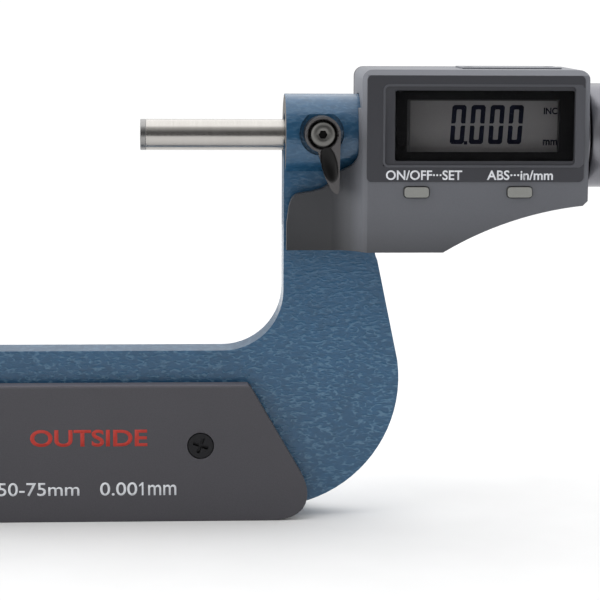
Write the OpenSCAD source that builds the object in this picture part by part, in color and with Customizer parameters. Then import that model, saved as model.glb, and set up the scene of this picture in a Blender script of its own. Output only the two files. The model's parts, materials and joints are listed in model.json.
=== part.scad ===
// Digital outside micrometer, 50-75 mm.
// +X runs along the spindle from the anvil to the ratchet, +Z is up and -Y is the
// display side. The origin is the centre of the anvil's measuring face.

/* [Measuring] */
// Gap between the measuring faces with the spindle fully in
range_min = 50; // [50:1:60]
// Travel of the spindle
travel = 25; // [20:1:25]
// Diameter of the spindle and the anvil
spindle_d = 6.5; // [6.2:0.1:6.5]
// Length of the carbide tips on the anvil and the spindle
tip_len = 1.2; // [0.8:0.1:1.5]

/* [Frame] */
// Depth of the throat below the spindle axis
throat_depth = 45; // [42:1:46]
// Thickness of the frame
web_t = 9; // [8.4:0.2:9]
// Diameter of the boss that carries the spindle
boss_d = 17.2; // [16.8:0.2:17.4]
// Diameter of the boss that carries the anvil
anvil_boss_d = 15; // [13:0.5:16]
// Thickness of each heat-insulating plate
insulator_t = 3.8; // [3:0.2:4.5]

/* [Display housing] */
// Length of the housing along the spindle
housing_l = 46.7; // [46:0.1:48]
// Height of the housing's top above the spindle axis
housing_top = 14; // [13.8:0.1:15]
// Depth of the housing's underside below the axis on the frame side
housing_drop = 23.5; // [23.3:0.1:24]
// Wall thickness of the housing
wall = 1.5; // [1.3:0.1:1.6]

/* [Thimble] */
// Diameter of the thimble
thimble_d = 21.8; // [21.6:0.1:22.4]
// Length of the thimble
thimble_l = 37.9; // [37.9:0.1:40]
// Diameter of the ratchet knob
knob_d = 14.4; // [14:0.2:15]
// Number of teeth on the ratchet faces
ratchet_teeth = 12; // [8:1:16]

/* [Hidden] */
$fn = 64;

// Running clearance of a shaft in its bore, and the joint between two plain faces
run = 0.02;
thread_gap = 0.05;

// Stations along the spindle
spindle_r = spindle_d / 2;
boss_x = range_min + 30.1;          // measuring end of the spindle boss
web_x = boss_x - 0.3;               // throat's right edge
anvil_out = 3.1;                    // anvil's length outside its boss
mid_x = (web_x - anvil_out + 0.3) / 2;
house_x = boss_x + 15.4;            // left wall of the housing's main body
house_end = house_x + housing_l;
boss_end = house_x + 1.9;
lug_x = boss_end + 11.6;            // lug that holds the barrel
lug_end = lug_x + 4;
step_x = house_end - 3;             // barrel's shoulder inside the right wall
thimble_x = house_end + 0.9;
sleeve_end = thimble_x + travel - 0.1;
barrel_end = sleeve_end + 4;
hub_x = barrel_end + 2;
thimble_end = thimble_x + thimble_l;
knob_x = thimble_end + 0.7;
knob_l = 15.7;

// Radii of the barrel and what runs on it
lug_r = 5.9;
barrel_small_r = 5;
barrel_r = 7.4;
sleeve_r = 9.2;
thimble_bore_r = 9.5;
thread_r = 3.5;
tail_r = 3;
nut_thread_r = 6.4;

// Frame outline
throat_r = 12.7;
cheek_r = 27.5;
cheek_drop = 51.1;
cheek_in = 3.1;                     // cheek arc's centre, inboard of the throat's edge
frame_drop = 80;
boss_r = boss_d / 2;
anvil_boss_r = anvil_boss_d / 2;
anvil_boss_x = -anvil_out - 14.4;

// Spindle lock
lock_x = boss_x + 7.3;
lock_z = 0.8;
lock_floor_y = -7.2;
lock_stud_r = 2.5;
hub_r = 3.7;

// Housing depth, front to back
front_y = -12.3;
split_y = 9.5;
back_y = 12;
wing_y = 7.5;
bevel = 1.1;

// Panel, window and display
panel_y = -12.5;
panel_t = 0.8;
panel_x = [house_x + 0.9, house_end - 1];
panel_z = [-8.9, 12.9];
panel_r = 1;
window_x = [house_x + 6.7, house_end - 3.1];
window_z = [-4.6, 9.8];
holder_x = [window_x[0] + 0.8, window_x[1] - 0.8];
holder_z = [window_z[0] + 0.7, window_z[1] - 0.7];
view_x = [house_x + 9.8, house_end - 6];
view_z = [-3, 7.7];
lcd_y = -8.5;
lcd_t = 1.2;
board_y = -6.9;
board_t = 0.8;

// Buttons
button_z = -11;
button_x = [house_x + 11.2, house_x + 32.5];
button_size = [5, 2.1];
button_r = 0.6;
button_front_y = -12.9;

// Battery
cell_x = house_x + 9.8;
cell_z = -14.6;
cell_r = 5.8;
cell_y = [4.9, 10.3];
cap_r = 7;

// Data port under the top cover plate
port_x = [house_x + 21.2, house_end - 4.8];
port_y = [-5.5, 6];

// Ratchet
seat_x = thimble_end;
tooth_h = 0.5;

// ---- helpers ----

// Cylinder along X from x0 to x1
module along_x(x0, x1, r) {
    translate([x0, 0, 0]) rotate([0, 90, 0]) cylinder(h = x1 - x0, r = r);
}

// Ring along X
module ring_x(x0, x1, ro, ri) {
    difference() {
        along_x(x0, x1, ro);
        along_x(x0 - 1, x1 + 1, ri);
    }
}

// Solid turned about the spindle axis from [x, r] points
module turned(points) {
    rotate([0, 90, 0]) rotate_extrude() polygon([for (p = points) [p[1], p[0]]]);
}

// Cylinder along Y at (x, z)
module along_y(x, z, y0, y1, r) {
    translate([x, y1, z]) rotate([90, 0, 0]) cylinder(h = y1 - y0, r = r);
}

// Ring along Y at (x, z)
module ring_y(x, z, y0, y1, ro, ri) {
    difference() {
        along_y(x, z, y0, y1, ro);
        along_y(x, z, y0 - 1, y1 + 1, ri);
    }
}

// Plate of an XZ outline between two depths
module plate(y0, y1) {
    translate([0, y1, 0]) rotate([90, 0, 0]) linear_extrude(y1 - y0) children();
}

// Block from its lowest corner to its highest
module block(low, high) {
    translate(low) cube(high - low);
}

// Block spanning x and z ranges between two depths
module slab(xs, zs, y0, y1) {
    block([xs[0], y0, zs[0]], [xs[1], y1, zs[1]]);
}

// Points of an arc in the XZ plane
function arc(x, z, r, a0, a1, steps = 12) =
    [for (i = [0:steps]) let (a = a0 + (a1 - a0) * i / steps) [x + r * cos(a), z + r * sin(a)]];

// The same points in the opposite order, and their mirror image on the frame's other side
function backwards(points) = [for (i = [len(points) - 1:-1:0]) points[i]];
function flipped(points) = [for (p = points) [2 * mid_x - p[0], p[1]]];
function mirrored(points) = backwards(flipped(points));

// ---- frame ----

// Right half of the frame: throat's right edge, inner corner and lower half
function right_cheek() = concat(
    arc(web_x - cheek_in, -cheek_drop, cheek_r, 8, -72, 18),
    [[mid_x + 36, -frame_drop + 1.4], [mid_x + 30, -frame_drop]]
);

function throat_corner() = arc(web_x - throat_r, -throat_depth + throat_r, throat_r, 0, -90, 14);

module frame_outline() {
    polygon(concat(
        [[web_x, 0], [boss_end, 0], [boss_end, -12], [house_x + 3.4, -12],
         [house_x + 3.4, -24.2], [house_x + 3.6, -25], [house_x + 4, -26],
         [house_x + 4.35, -27.7]],
        right_cheek(),
        mirrored(right_cheek()),
        [[-26.2, -44], [-22.6, -26], [-20.4, -15], [anvil_boss_x + 0.6, -6.5],
         [anvil_boss_x + 0.6, 0], [-anvil_out + 0.3, 0]],
        flipped(throat_corner()),
        backwards(throat_corner())
    ));
}

module frame() {
    color([0.16, 0.30, 0.42]) difference() {
        union() {
            plate(-web_t / 2, web_t / 2) frame_outline();
            along_x(boss_x, boss_end, boss_r);
            along_x(anvil_boss_x, -anvil_out, anvil_boss_r);
            // bridge inside the housing, and the lug that holds the barrel
            block([house_x, -3.3, -20], [lug_end, 3.3, -11]);
            block([lug_x, -3.3, -12], [lug_end, 3.3, 0]);
            along_x(lug_x, lug_end, lug_r);
        }
        along_x(boss_x - 1, boss_end + 1, 4.75);
        along_x(lug_x - 1, lug_end + 1, barrel_small_r);
        along_x(anvil_boss_x - 1, 0, spindle_r);
        along_y(lock_x, lock_z, -boss_r - 1, lock_floor_y, 4.6);
        along_y(lock_x, lock_z, lock_floor_y - 1, -3, lock_stud_r);
        for (x = plate_screw_x) along_y(x, plate_screw_z, -web_t, web_t, 1.5);
        for (p = frame_screw_at) along_y(p[0], p[1], 0, web_t, 0.8);
    }
}

module anvil() {
    color("silver") along_x(anvil_boss_x + 0.4, -tip_len, spindle_r);
}

module anvil_tip() {
    color("dimgray") along_x(-tip_len, 0, spindle_r);
}

// ---- heat-insulating plates ----

plate_screw_z = -64.6;
plate_screw_x = [mid_x - 23.9, mid_x + 23.9];
plate_top = -51.7;
plate_low = -80.7;

// Slanted end: straight down to a soft bend, then a flattened lower corner
function plate_side() = [
    for (p = [[33.7, plate_top], [34.4, plate_top - 0.6], [45.0, -70.7], [45.7, -72.1],
              [46.15, -73.4], [46.35, -74.9], [46.25, -76.2], [45.95, -77.2], [45.35, -78.3],
              [44.3, -79.25], [43.0, -79.95], [41.6, -80.4], [40.1, -80.62], [38.6, plate_low]])
        [mid_x + p[0], p[1]]
];

module insulator_outline() {
    polygon(concat(plate_side(), mirrored(plate_side())));
}

module insulator(y0, y1, head_y0, head_y1) {
    difference() {
        plate(y0, y1) insulator_outline();
        for (x = plate_screw_x) {
            along_y(x, plate_screw_z, y0 - 1, y1 + 1, 1.5);
            along_y(x, plate_screw_z, head_y0, head_y1, 2.8);
        }
    }
}

module insulator_front() {
    color([0.30, 0.30, 0.31])
        insulator(-web_t / 2 - insulator_t, -web_t / 2, -web_t, -web_t / 2 - insulator_t + 1.6);
}

module insulator_rear() {
    color([0.30, 0.30, 0.31])
        insulator(web_t / 2, web_t / 2 + insulator_t, web_t / 2 + insulator_t - 1.6, web_t);
}

// Cross-head screw whose head faces -Y
module cross_screw(head_y, head_r, head_t, r, l) {
    difference() {
        union() {
            along_y(0, 0, head_y, head_y + head_t, head_r);
            along_y(0, 0, head_y + head_t, head_y + l, r);
        }
        for (a = [0, 90]) rotate([0, a + 20, 0])
            block([-head_r * 0.62, head_y - 1, -head_r * 0.11],
                  [head_r * 0.62, head_y + head_t * 0.6, head_r * 0.11]);
    }
}

module insulator_screws() {
    head_y = -web_t / 2 - insulator_t + 0.1;
    color([0.12, 0.12, 0.13]) for (x = plate_screw_x, turn = [0, 180])
        translate([x, 0, plate_screw_z]) rotate([0, 0, turn])
            cross_screw(head_y, 2.65, 1.5, 1.5, -head_y - 0.3);
}

// ---- spindle guide and lock ----

module guide_bush() {
    color("silver") difference() {
        ring_x(boss_x + 2, boss_end, 4.75, spindle_r + run);
        along_y(lock_x, lock_z, -6, 0, 2);
    }
}

module spindle_wiper() {
    color([0.1, 0.1, 0.1]) ring_x(boss_x + 0.3, boss_x + 2, 4.75, spindle_r + run);
}

module lock_shoe() {
    color("goldenrod") difference() {
        along_y(lock_x, lock_z, -5.2, -2, 1.95);
        along_x(lock_x - 3, lock_x + 3, spindle_r + thread_gap);
    }
}

module lock_stud() {
    color("silver") difference() {
        union() {
            along_y(lock_x, lock_z, lock_floor_y, -5.25, lock_stud_r - thread_gap);
            along_y(lock_x, lock_z, -12.3, lock_floor_y, 2);
        }
        along_y(lock_x, lock_z, -13, -8.3, 1);
    }
}

module lock_outline() {
    polygon([[lock_x - 1.0, lock_z - 3.4], [lock_x - 0.4, lock_z - 5.6],
             [lock_x + 0.4, lock_z - 8.5], [lock_x + 1.5, lock_z - 10.9],
             [lock_x + 2.2, lock_z - 11.8], [lock_x + 2.75, lock_z - 12.2],
             [lock_x + 3.2, lock_z - 12.1], [lock_x + 3.4, lock_z - 11.4],
             [lock_x + 3.5, lock_z - 8], [lock_x + 3.66, lock_z - 0.4], [lock_x, lock_z]]);
}

module lock_lever() {
    color([0.13, 0.13, 0.14]) difference() {
        union() {
            along_y(lock_x, lock_z, -12.3, lock_floor_y - 0.1, hub_r);
            plate(-12.3, -9.2) lock_outline();
        }
        along_y(lock_x, lock_z, -13, 0, 2);
    }
}

module lock_screw() {
    color("gray") difference() {
        union() {
            along_y(lock_x, lock_z, -13.2, -12.3, 2.5);
            along_y(lock_x, lock_z, -12.3, -8.3, 1);
        }
        along_y(lock_x, lock_z, -14, -12.6, 0.9, $fn = 6);
    }
}

// ---- display housing ----

frame_screw_at = [[boss_x + 4.4, -18], [boss_x + 11.6, -20.4]];
under_r = 71.2;
under_x = house_end + 6.7;
under_z = -84.6;

// Main body's outline, drawn in by inset; the underside sweeps up on an arc
function body_points(inset) = let (
    r = under_r + inset,
    low = -housing_drop + inset,
    right = house_end - inset - 1,
    a0 = acos((right - under_x) / r),
    a1 = 180 - asin((low - under_z) / r),
    corner = max(2 - inset, 0.5)
) concat(
    [[house_x + inset, low]],
    arc(house_x + inset + corner, housing_top - inset - corner, corner, 180, 90, 6),
    arc(house_end - inset - corner, housing_top - inset - corner, corner, 90, 0, 6),
    [[right + 1, under_z + r * sin(a0) + 1]],
    arc(under_x, under_z, r, a0, a1, 14)
);

// Wing that covers the web beside the boss, cut away round the boss
module wing_outline() {
    polygon(concat(
        [[house_x + 3, -housing_drop], [boss_x + 0.2, -housing_drop], [boss_x + 0.2, -18],
         [boss_x + 0.7, -14.2]],
        arc(boss_x + 3.2, -14, 2.3, 170, 105, 5),
        [[boss_x + 5.4, -11.3], [boss_x + 7.4, -10.8], [boss_x + 9, -9.8], [boss_x + 11.4, -7]],
        arc(boss_x + 11, -2.8, 3.9, -60, 0, 6),
        [[boss_x + 14.9, 6], [house_x + 3, 6]]
    ));
}

// Bar along Y of a rectangle with rounded corners, centred at (x, z)
module rounded_bar(x, z, size, r, y0, y1) {
    w = size[0] / 2 - r;
    h = size[1] / 2 - r;
    for (dx = [-w, w]) for (dz = [-h, h]) along_y(x + dx, z + dz, y0, y1, r);
    slab([x - w - r, x + w + r], [z - h, z + h], y0, y1);
    slab([x - w, x + w], [z - h - r, z + h + r], y0, y1);
}

// Rounded block of the front panel, used for the panel and for its recess
module panel_block(y0, y1) {
    size = [panel_x[1] - panel_x[0], panel_z[1] - panel_z[0]];
    rounded_bar(panel_x[0] + size[0] / 2, panel_z[0] + size[1] / 2, size, panel_r, y0, y1);
}

cover_screw_at = [[house_x + 2.6, housing_top - 2.6], [house_end - 2.6, housing_top - 2.6],
                  [house_end - 2.6, -10.6], [house_x + 2.3, -housing_drop + 2.3]];

// Wedge of the left wall that ramps from the wing's face to the main body's
module ramp(side) {
    top_y = side < 0 ? wing_y + 3.2 : split_y - 0.1;
    foot_x = house_x - top_y + wing_y;
    section = [[foot_x, 4], [foot_x, wing_y - 0.1], [house_x + 0.1, top_y], [house_x + 0.1, 4]];
    intersection() {
        translate([0, 0, -housing_drop])
            linear_extrude(housing_drop + 9) polygon([for (p = section) [p[0], side * p[1]]]);
        plate(-20, 20) wing_outline();
    }
}

module display_housing() {
    color([0.38, 0.38, 0.39]) difference() {
        union() {
            difference() {
                plate(front_y, split_y) polygon(body_points(0));
                plate(front_y + wall, split_y + 1) polygon(body_points(wall));
            }
            for (p = cover_screw_at) along_y(p[0], p[1], 3, split_y, 1.9);
            for (side = [-1, 1]) {
                plate(side > 0 ? web_t / 2 : -wing_y, side > 0 ? wing_y : -web_t / 2)
                    wing_outline();
                ramp(side);
            }
        }
        // room for the frame's boss, web and bridge
        along_x(house_x - 6, boss_end, boss_r + 0.25);
        block([boss_x - 1, -web_t / 2, -30], [house_x + 3.4, web_t / 2, 0]);
        // inside of the main body behind the wings
        block([house_x + wall, -web_t / 2 - 4, -housing_drop + wall],
              [house_x + 6, web_t / 2 + 4, 11]);
        // bevels of the front face's left and top edges
        left_bevel();
        top_bevel();
        // panel, display and buttons
        panel_block(-14, panel_y + panel_t);
        slab(holder_x, holder_z, -14, -8);
        for (x = button_x)
            rounded_bar(x, button_z, button_size + [0.4, 0.4], button_r + 0.2, -14, -9);
        // barrel, port, gasket groove and screw holes
        along_x(house_end - 4, house_end + 1, 8.4);
        block([port_x[0], port_y[0], housing_top - 0.8], [port_x[1], port_y[1], housing_top + 1]);
        block([port_x[0] + 4.6, -2.6, 11], [port_x[1] - 4.1, 3.6, 15]);
        gasket_ring();
        for (p = cover_screw_at) along_y(p[0], p[1], 4, back_y, 0.8);
        for (p = frame_screw_at) along_y(p[0], p[1], 4, wing_y + 1, 1.3);
        for (x = port_screw_x) translate([x, 0.3, 11]) cylinder(h = 3, r = 0.6);
    }
}

// Prism that cuts the bevel of the left front edge
module left_bevel() {
    corner = [house_x, front_y];
    translate([0, 0, -housing_drop - 1]) linear_extrude(housing_drop + housing_top + 2)
        polygon([corner + [-1, -1], corner + [bevel, -1], corner + [bevel, 0],
                 corner + [0, bevel], corner + [-1, bevel]]);
}

// Prism that cuts the bevel of the top front edge
module top_bevel() {
    translate([house_x - 1, 0, 0]) rotate([90, 0, 90]) linear_extrude(housing_l + 2)
        polygon([[front_y - 1, housing_top + 1], [front_y + bevel, housing_top + 1],
                 [front_y + bevel, housing_top], [front_y, housing_top - bevel],
                 [front_y - 1, housing_top - bevel]]);
}

module gasket_ring() {
    difference() {
        plate(split_y - 0.4, split_y) polygon(body_points(0.45));
        plate(split_y - 1, split_y + 1) polygon(body_points(1.05));
    }
}

module cover_gasket() {
    color([0.15, 0.15, 0.15]) gasket_ring();
}

module rear_cover() {
    color([0.33, 0.33, 0.34]) difference() {
        plate(split_y, back_y) polygon(body_points(0));
        along_y(cell_x, cell_z, split_y - 1, back_y + 1, cap_r + thread_gap);
        for (p = cover_screw_at) {
            along_y(p[0], p[1], split_y - 1, back_y + 1, 0.8);
            along_y(p[0], p[1], back_y - 1, back_y + 1, 1.45);
        }
    }
}

// Slotted screw whose head faces +Y, at the origin of its own axis
module slotted_screw(head_y, head_r, head_t, r, l) {
    difference() {
        union() {
            along_y(0, 0, head_y - head_t, head_y, head_r);
            along_y(0, 0, head_y - l, head_y - head_t, r);
        }
        block([-head_r, head_y - 0.35, -0.15], [head_r, head_y + 1, 0.15]);
    }
}

module cover_screws() {
    color("silver") for (p = cover_screw_at)
        translate([p[0], 0, p[1]]) slotted_screw(back_y - 0.1, 1.4, 0.9, 0.8, 6);
}

module frame_screws() {
    color("silver") for (p = frame_screw_at)
        translate([p[0], 0, p[1]]) slotted_screw(wing_y + 0.6, 1.3, 1.2, 0.8, 6.5);
}

module display_panel() {
    color([0.26, 0.26, 0.28]) difference() {
        panel_block(panel_y, panel_y + panel_t);
        slab(window_x, window_z, -14, -10);
        slab([panel_x[0] + 3.4, house_end], [-5.55, 10.65], -14, panel_y + 0.25);
    }
}

module display_window() {
    color([0.08, 0.08, 0.09, 0.6])
        slab(window_x, window_z, panel_y + 0.1, panel_y + panel_t);
}

module lcd_holder() {
    color([0.1, 0.1, 0.1]) difference() {
        slab(holder_x, holder_z, panel_y + panel_t, board_y);
        slab(view_x, view_z, -14, -5);
        slab([view_x[0] - 1.1, view_x[1] + 0.9], [view_z[0] - 0.5, view_z[1] + 0.9], lcd_y, -5);
    }
}

module lcd_glass() {
    color([0.45, 0.46, 0.44])
        slab([view_x[0] - 1.1, view_x[1] + 0.9], [view_z[0] - 0.5, view_z[1] + 0.9],
             lcd_y, lcd_y + lcd_t);
}

module zebra_strips() {
    color([0.7, 0.5, 0.6]) for (z = [view_z[0] - 0.4, view_z[1] - 0.2])
        slab([view_x[0] + 1, view_x[1] - 1], [z, z + 1], lcd_y + lcd_t, board_y);
}

module main_board() {
    color([0.1, 0.4, 0.2]) union() {
        slab([holder_x[0], holder_x[1] - 0.3], [-12, 9.3], board_y, board_y + board_t);
        slab([house_end - 11, house_end - 6], [-11.5, -6.5], board_y + board_t, board_y + 2.2);
    }
}

module dome_switches() {
    color("silver") for (x = button_x)
        along_y(x, -10, board_y - 0.5, board_y, 1.6);
}

module button_mat() {
    color([0.2, 0.2, 0.2]) union() {
        slab([button_x[0] - 2.6, button_x[1] + 2.6], [-11.9, -8.4], -8, board_y - 0.5);
        for (x = button_x) along_y(x, -10.4, -9.2, -8, 1);
    }
}

// Push button with its guide flange behind the front wall
module button(x) {
    color([0.60, 0.61, 0.58]) union() {
        rounded_bar(x, button_z, button_size, button_r, button_front_y, -10);
        slab([x - 2.9, x + 2.9], [button_z - 1, button_z + 1.6], -10.7, -10);
    }
}

module button_power() { button(button_x[0]); }

module button_unit() { button(button_x[1]); }

// ---- battery ----

module battery() {
    color("silver") union() {
        along_y(cell_x, cell_z, cell_y[0], cell_y[0] + 0.4, cell_r - 0.9);
        along_y(cell_x, cell_z, cell_y[0] + 0.4, cell_y[1], cell_r);
    }
}

module battery_tray() {
    color([0.15, 0.15, 0.15]) difference() {
        along_y(cell_x, cell_z, 3.9, cell_y[1], 6.2);
        along_y(cell_x, cell_z, 4.5, 12, cell_r + 0.05);
        block([cell_x - 1.5, 5.4, cell_z + 5], [cell_x + 1.5, 12, cell_z + 7]);
    }
}

module battery_contacts() {
    color("gold") {
        along_y(cell_x, cell_z, 4.5, cell_y[0], 3);
        block([cell_x - 1.4, 5.5, cell_z + 5.83], [cell_x + 1.4, cell_y[1], cell_z + 6.1]);
    }
}

module battery_cap() {
    color([0.3, 0.3, 0.31]) difference() {
        union() {
            along_y(cell_x, cell_z, 10.5, 12.3, cap_r);
            ring_y(cell_x, cell_z, 8.4, 10.5, cap_r, 6.3);
            for (a = [-25, 155]) translate([cell_x, 0, cell_z]) rotate([0, a, 0])
                intersection() {
                    ring_y(0, 0, 8.4, 9.3, cap_r + 0.6, cap_r - 0.2);
                    block([5, 8, -2], [9, 10, 2]);
                }
        }
        block([cell_x - 4.5, 11.3, cell_z - 0.6], [cell_x + 4.5, 13, cell_z + 0.6]);
        ring_y(cell_x, cell_z, 9.6, 10.2, cap_r + 1, cap_r - 0.5);
    }
}

module battery_cap_seal() {
    color([0.1, 0.1, 0.1]) ring_y(cell_x, cell_z, 9.6, 10.2, cap_r + run, cap_r - 0.5);
}

// ---- data port ----

port_screw_x = [port_x[0] + 2, port_x[1] - 2];

module port_cover() {
    color([0.3, 0.3, 0.31]) difference() {
        block([port_x[0], port_y[0], housing_top - 0.8], [port_x[1], port_y[1], housing_top + 0.3]);
        for (x = port_screw_x) translate([x, 0.3, 0]) {
            translate([0, 0, housing_top - 2]) cylinder(h = 4, r = 0.6);
            translate([0, 0, housing_top - 0.3]) cylinder(h = 2, r = 1.15);
        }
    }
}

module port_screws() {
    color("silver") for (x = port_screw_x) translate([x, 0.3, 0]) difference() {
        union() {
            translate([0, 0, housing_top - 0.3]) cylinder(h = 0.5, r = 1.1);
            translate([0, 0, housing_top - 1.9]) cylinder(h = 1.6, r = 0.6);
        }
        block([-1.2, -0.12, housing_top], [1.2, 0.12, housing_top + 1]);
    }
}

module port_seal() {
    color([0.1, 0.1, 0.1]) difference() {
        block([port_x[0] + 4.6, -2.6, housing_top - 1.5], [port_x[1] - 4.1, 3.6, housing_top - 0.8]);
        block([port_x[0] + 5.4, -1.8, 10], [port_x[1] - 4.9, 2.8, 15]);
    }
}

module port_socket() {
    color([0.1, 0.1, 0.1]) union() {
        difference() {
            block([port_x[0] + 4.2, -3, 8.6], [port_x[1] - 3.7, 4, housing_top - wall]);
            block([port_x[0] + 5.4, -1.8, 9.6], [port_x[1] - 4.9, 2.8, 15]);
        }
        for (i = [0:4]) translate([port_x[0] + 6.6 + i * 2, 0.2, 9.6]) cylinder(h = 2, r = 0.3);
    }
}

// ---- encoder ----

module stator_board() {
    color([0.1, 0.4, 0.2]) difference() {
        union() {
            along_x(boss_end + 0.4, boss_end + 1.2, 9.4);
            block([boss_end + 0.4, -6.1, -10.2], [boss_end + 1.2, -3, -7]);
        }
        along_x(boss_end - 1, boss_end + 2, 4);
    }
}

module flex_cable() {
    color("orange")
        block([boss_end + 0.4, board_y + board_t, -10.4], [holder_x[0] + 1.5, -3, -10.2]);
}

module rotor_disc() {
    color([0.6, 0.5, 0.2]) ring_x(boss_end + 1.6, boss_end + 2.4, 9.1, 4.6);
}

module rotor_bush() {
    color("goldenrod") difference() {
        turned([[boss_end + 1.6, spindle_r + run], [boss_end + 1.6, 4.6], [boss_end + 2.4, 4.6],
                [boss_end + 2.4, 6], [boss_end + 3.4, 6], [boss_end + 3.4, 4.6],
                [lug_x - 1.6, 4.6], [lug_x - 1.6, spindle_r + run]]);
        along_z_pin(0.6);
    }
}

// Key pin's place, through the top of the rotor bush into the spindle's keyway
key_x = lug_x - 2.6;
key_tip = 2.3;

module along_z_pin(r) {
    translate([key_x, 0, key_tip]) cylinder(h = 4.6 - key_tip + 0.1, r = r);
}

module rotor_key() {
    color("silver") intersection() {
        along_z_pin(0.6);
        along_x(key_x - 2, key_x + 2, 4.6);
    }
}

module rotor_spring() {
    color("silver") difference() {
        turned([[boss_end + 3.6, 5.0], [boss_end + 3.6, 6.2], [boss_end + 6, 5.9],
                [boss_end + 6, 4.9]]);
        along_x(boss_end, boss_end + 9, 4.75);
    }
}

// ---- barrel ----

module barrel() {
    color("silver") turned([
        [lug_x, spindle_r + 0.7], [lug_x, barrel_small_r], [step_x, barrel_small_r],
        [step_x, barrel_r], [sleeve_end, barrel_r], [sleeve_end, nut_thread_r],
        [barrel_end, nut_thread_r], [barrel_end, thread_r + thread_gap],
        [barrel_end - 22, thread_r + thread_gap], [barrel_end - 22, spindle_r + 0.7]
    ]);
}

module adjusting_nut() {
    color("gray") difference() {
        ring_x(sleeve_end, barrel_end, 8.9, nut_thread_r);
        for (a = [0, 90]) rotate([a, 0, 0])
            block([barrel_end - 1, -0.8, -10], [barrel_end + 1, 0.8, 10]);
    }
}

module graduated_sleeve() {
    color("gainsboro") ring_x(house_end + 0.5, sleeve_end, sleeve_r, barrel_r);
}

module barrel_seal() {
    color([0.1, 0.1, 0.1]) ring_x(house_end - wall, house_end, 8.4, barrel_r);
}

module end_ring() {
    color("silver") ring_x(house_end, house_end + 0.5, thimble_d / 2, barrel_r);
}

// ---- spindle and thimble ----

module spindle() {
    thread_x = lug_x + 3;
    color("silver") difference() {
        turned([[range_min + tip_len, 0], [range_min + tip_len, spindle_r],
                [thread_x, spindle_r], [thread_x, thread_r], [hub_x, thread_r],
                [hub_x, tail_r], [thimble_end, tail_r], [thimble_end, 0]]);
        // keyway: one turn carries the rotor while the spindle slides
        block([key_x - travel - 0.7, -0.65, key_tip - 0.05], [key_x + 0.7, 0.65, 5]);
        along_x(thimble_end - 5, thimble_end + 1, 2);
    }
}

module spindle_tip() {
    color("dimgray") along_x(range_min, range_min + tip_len, spindle_r);
}

module thimble() {
    r = thimble_d / 2;
    grip_x = thimble_x + 14;
    grip_end = thimble_end - 6;
    color("gainsboro") turned([
        [thimble_x, thimble_bore_r], [thimble_x, r - 0.3], [thimble_x + 0.3, r],
        [grip_x, r], [grip_x + 0.3, r - 0.5], [grip_x + 1.2, r - 0.5], [grip_x + 1.5, r],
        [grip_end, r], [grip_end + 0.3, r - 0.5], [grip_end + 1.2, r - 0.5],
        [grip_end + 1.5, r - 0.2], [thimble_end - 1.2, r - 0.6], [thimble_end, r - 1.8],
        [thimble_end, 5.5], [hub_x, 5.5], [hub_x, thimble_bore_r]
    ]);
}

module thimble_hub() {
    color("gray") ring_x(hub_x, thimble_end, 5.5, tail_r);
}

// ---- ratchet ----

// Ring of saw teeth on a face at x, pointing along dir
module face_teeth(x, dir, shift) {
    pitch = 360 / ratchet_teeth;
    for (i = [0:ratchet_teeth - 1]) rotate([i * pitch + shift, 0, 0])
        translate([x, 0, 3.2]) linear_extrude(1.9)
            polygon([[-dir * 0.1, -0.7], [dir * tooth_h, -0.1], [-dir * 0.1, 0.7]]);
}

module ratchet_seat() {
    color("gray") union() {
        ring_x(seat_x, seat_x + 2, 5.3, 2);
        face_teeth(seat_x + 2, 1, 0);
    }
}

module ratchet_plate() {
    base_x = seat_x + 2 + 2 * tooth_h + 0.1;
    color("gray") difference() {
        union() {
            along_x(base_x, base_x + 1.6, 5.4);
            face_teeth(base_x, -1, 0);
            for (a = [0, 180]) rotate([a, 0, 0])
                block([base_x, -0.7, 5], [base_x + 1.6, 0.7, 6.1]);
        }
        along_x(base_x - 2, base_x + 3, 2.1);
    }
}

// Coil spring swept along the axis
coil_r = 3.4;
wire_r = 0.35;
coil_turns = 5;
coil_steps = 16;
coil_sides = 6;
coil_x = [seat_x + 4.7 + wire_r + 0.05, knob_x + 9.5 - wire_r];

module ratchet_spring() {
    rings = coil_turns * coil_steps;
    points = [for (i = [0:rings], j = [0:coil_sides - 1]) let (
        a = 360 * i / coil_steps,
        b = 360 * j / coil_sides,
        r = coil_r + wire_r * cos(b)
    ) [coil_x[0] + (coil_x[1] - coil_x[0]) * i / rings + wire_r * sin(b),
       r * cos(a), r * sin(a)]];
    walls = [for (i = [0:rings - 1], j = [0:coil_sides - 1]) let (
        k = (j + 1) % coil_sides
    ) [i * coil_sides + j, i * coil_sides + k, (i + 1) * coil_sides + k,
       (i + 1) * coil_sides + j]];
    first = [for (j = [coil_sides - 1:-1:0]) j];
    last = [for (j = [0:coil_sides - 1]) rings * coil_sides + j];
    color("silver") polyhedron(points, concat(walls, [first, last]));
}

module ratchet_screw() {
    head_x = knob_x + 13.2;
    color("silver") difference() {
        union() {
            along_x(thimble_end - 5, head_x, 2);
            along_x(head_x, head_x + 1.4, 3.4);
        }
        block([head_x + 0.7, -5, -0.4], [head_x + 2, 5, 0.4]);
    }
}

module ratchet_knob() {
    r = knob_d / 2;
    color("gainsboro") difference() {
        turned([[knob_x, 5.6], [knob_x, r - 0.5], [knob_x + 0.5, r], [knob_x + knob_l - 0.8, r],
                [knob_x + knob_l, r - 0.8], [knob_x + knob_l, 4.4], [knob_x + 12.9, 4.4],
                [knob_x + 12.9, 2 + thread_gap], [knob_x + 9.5, 2 + thread_gap],
                [knob_x + 9.5, 5.6]]);
        for (a = [0, 180]) rotate([a, 0, 0])
            block([knob_x - 1, -0.8, 5], [knob_x + 5.5, 0.8, 6.2]);
    }
}

module ratchet_cap() {
    color("gray") along_x(knob_x + knob_l - 0.9, knob_x + knob_l - 0.2, 4.4);
}

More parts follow.
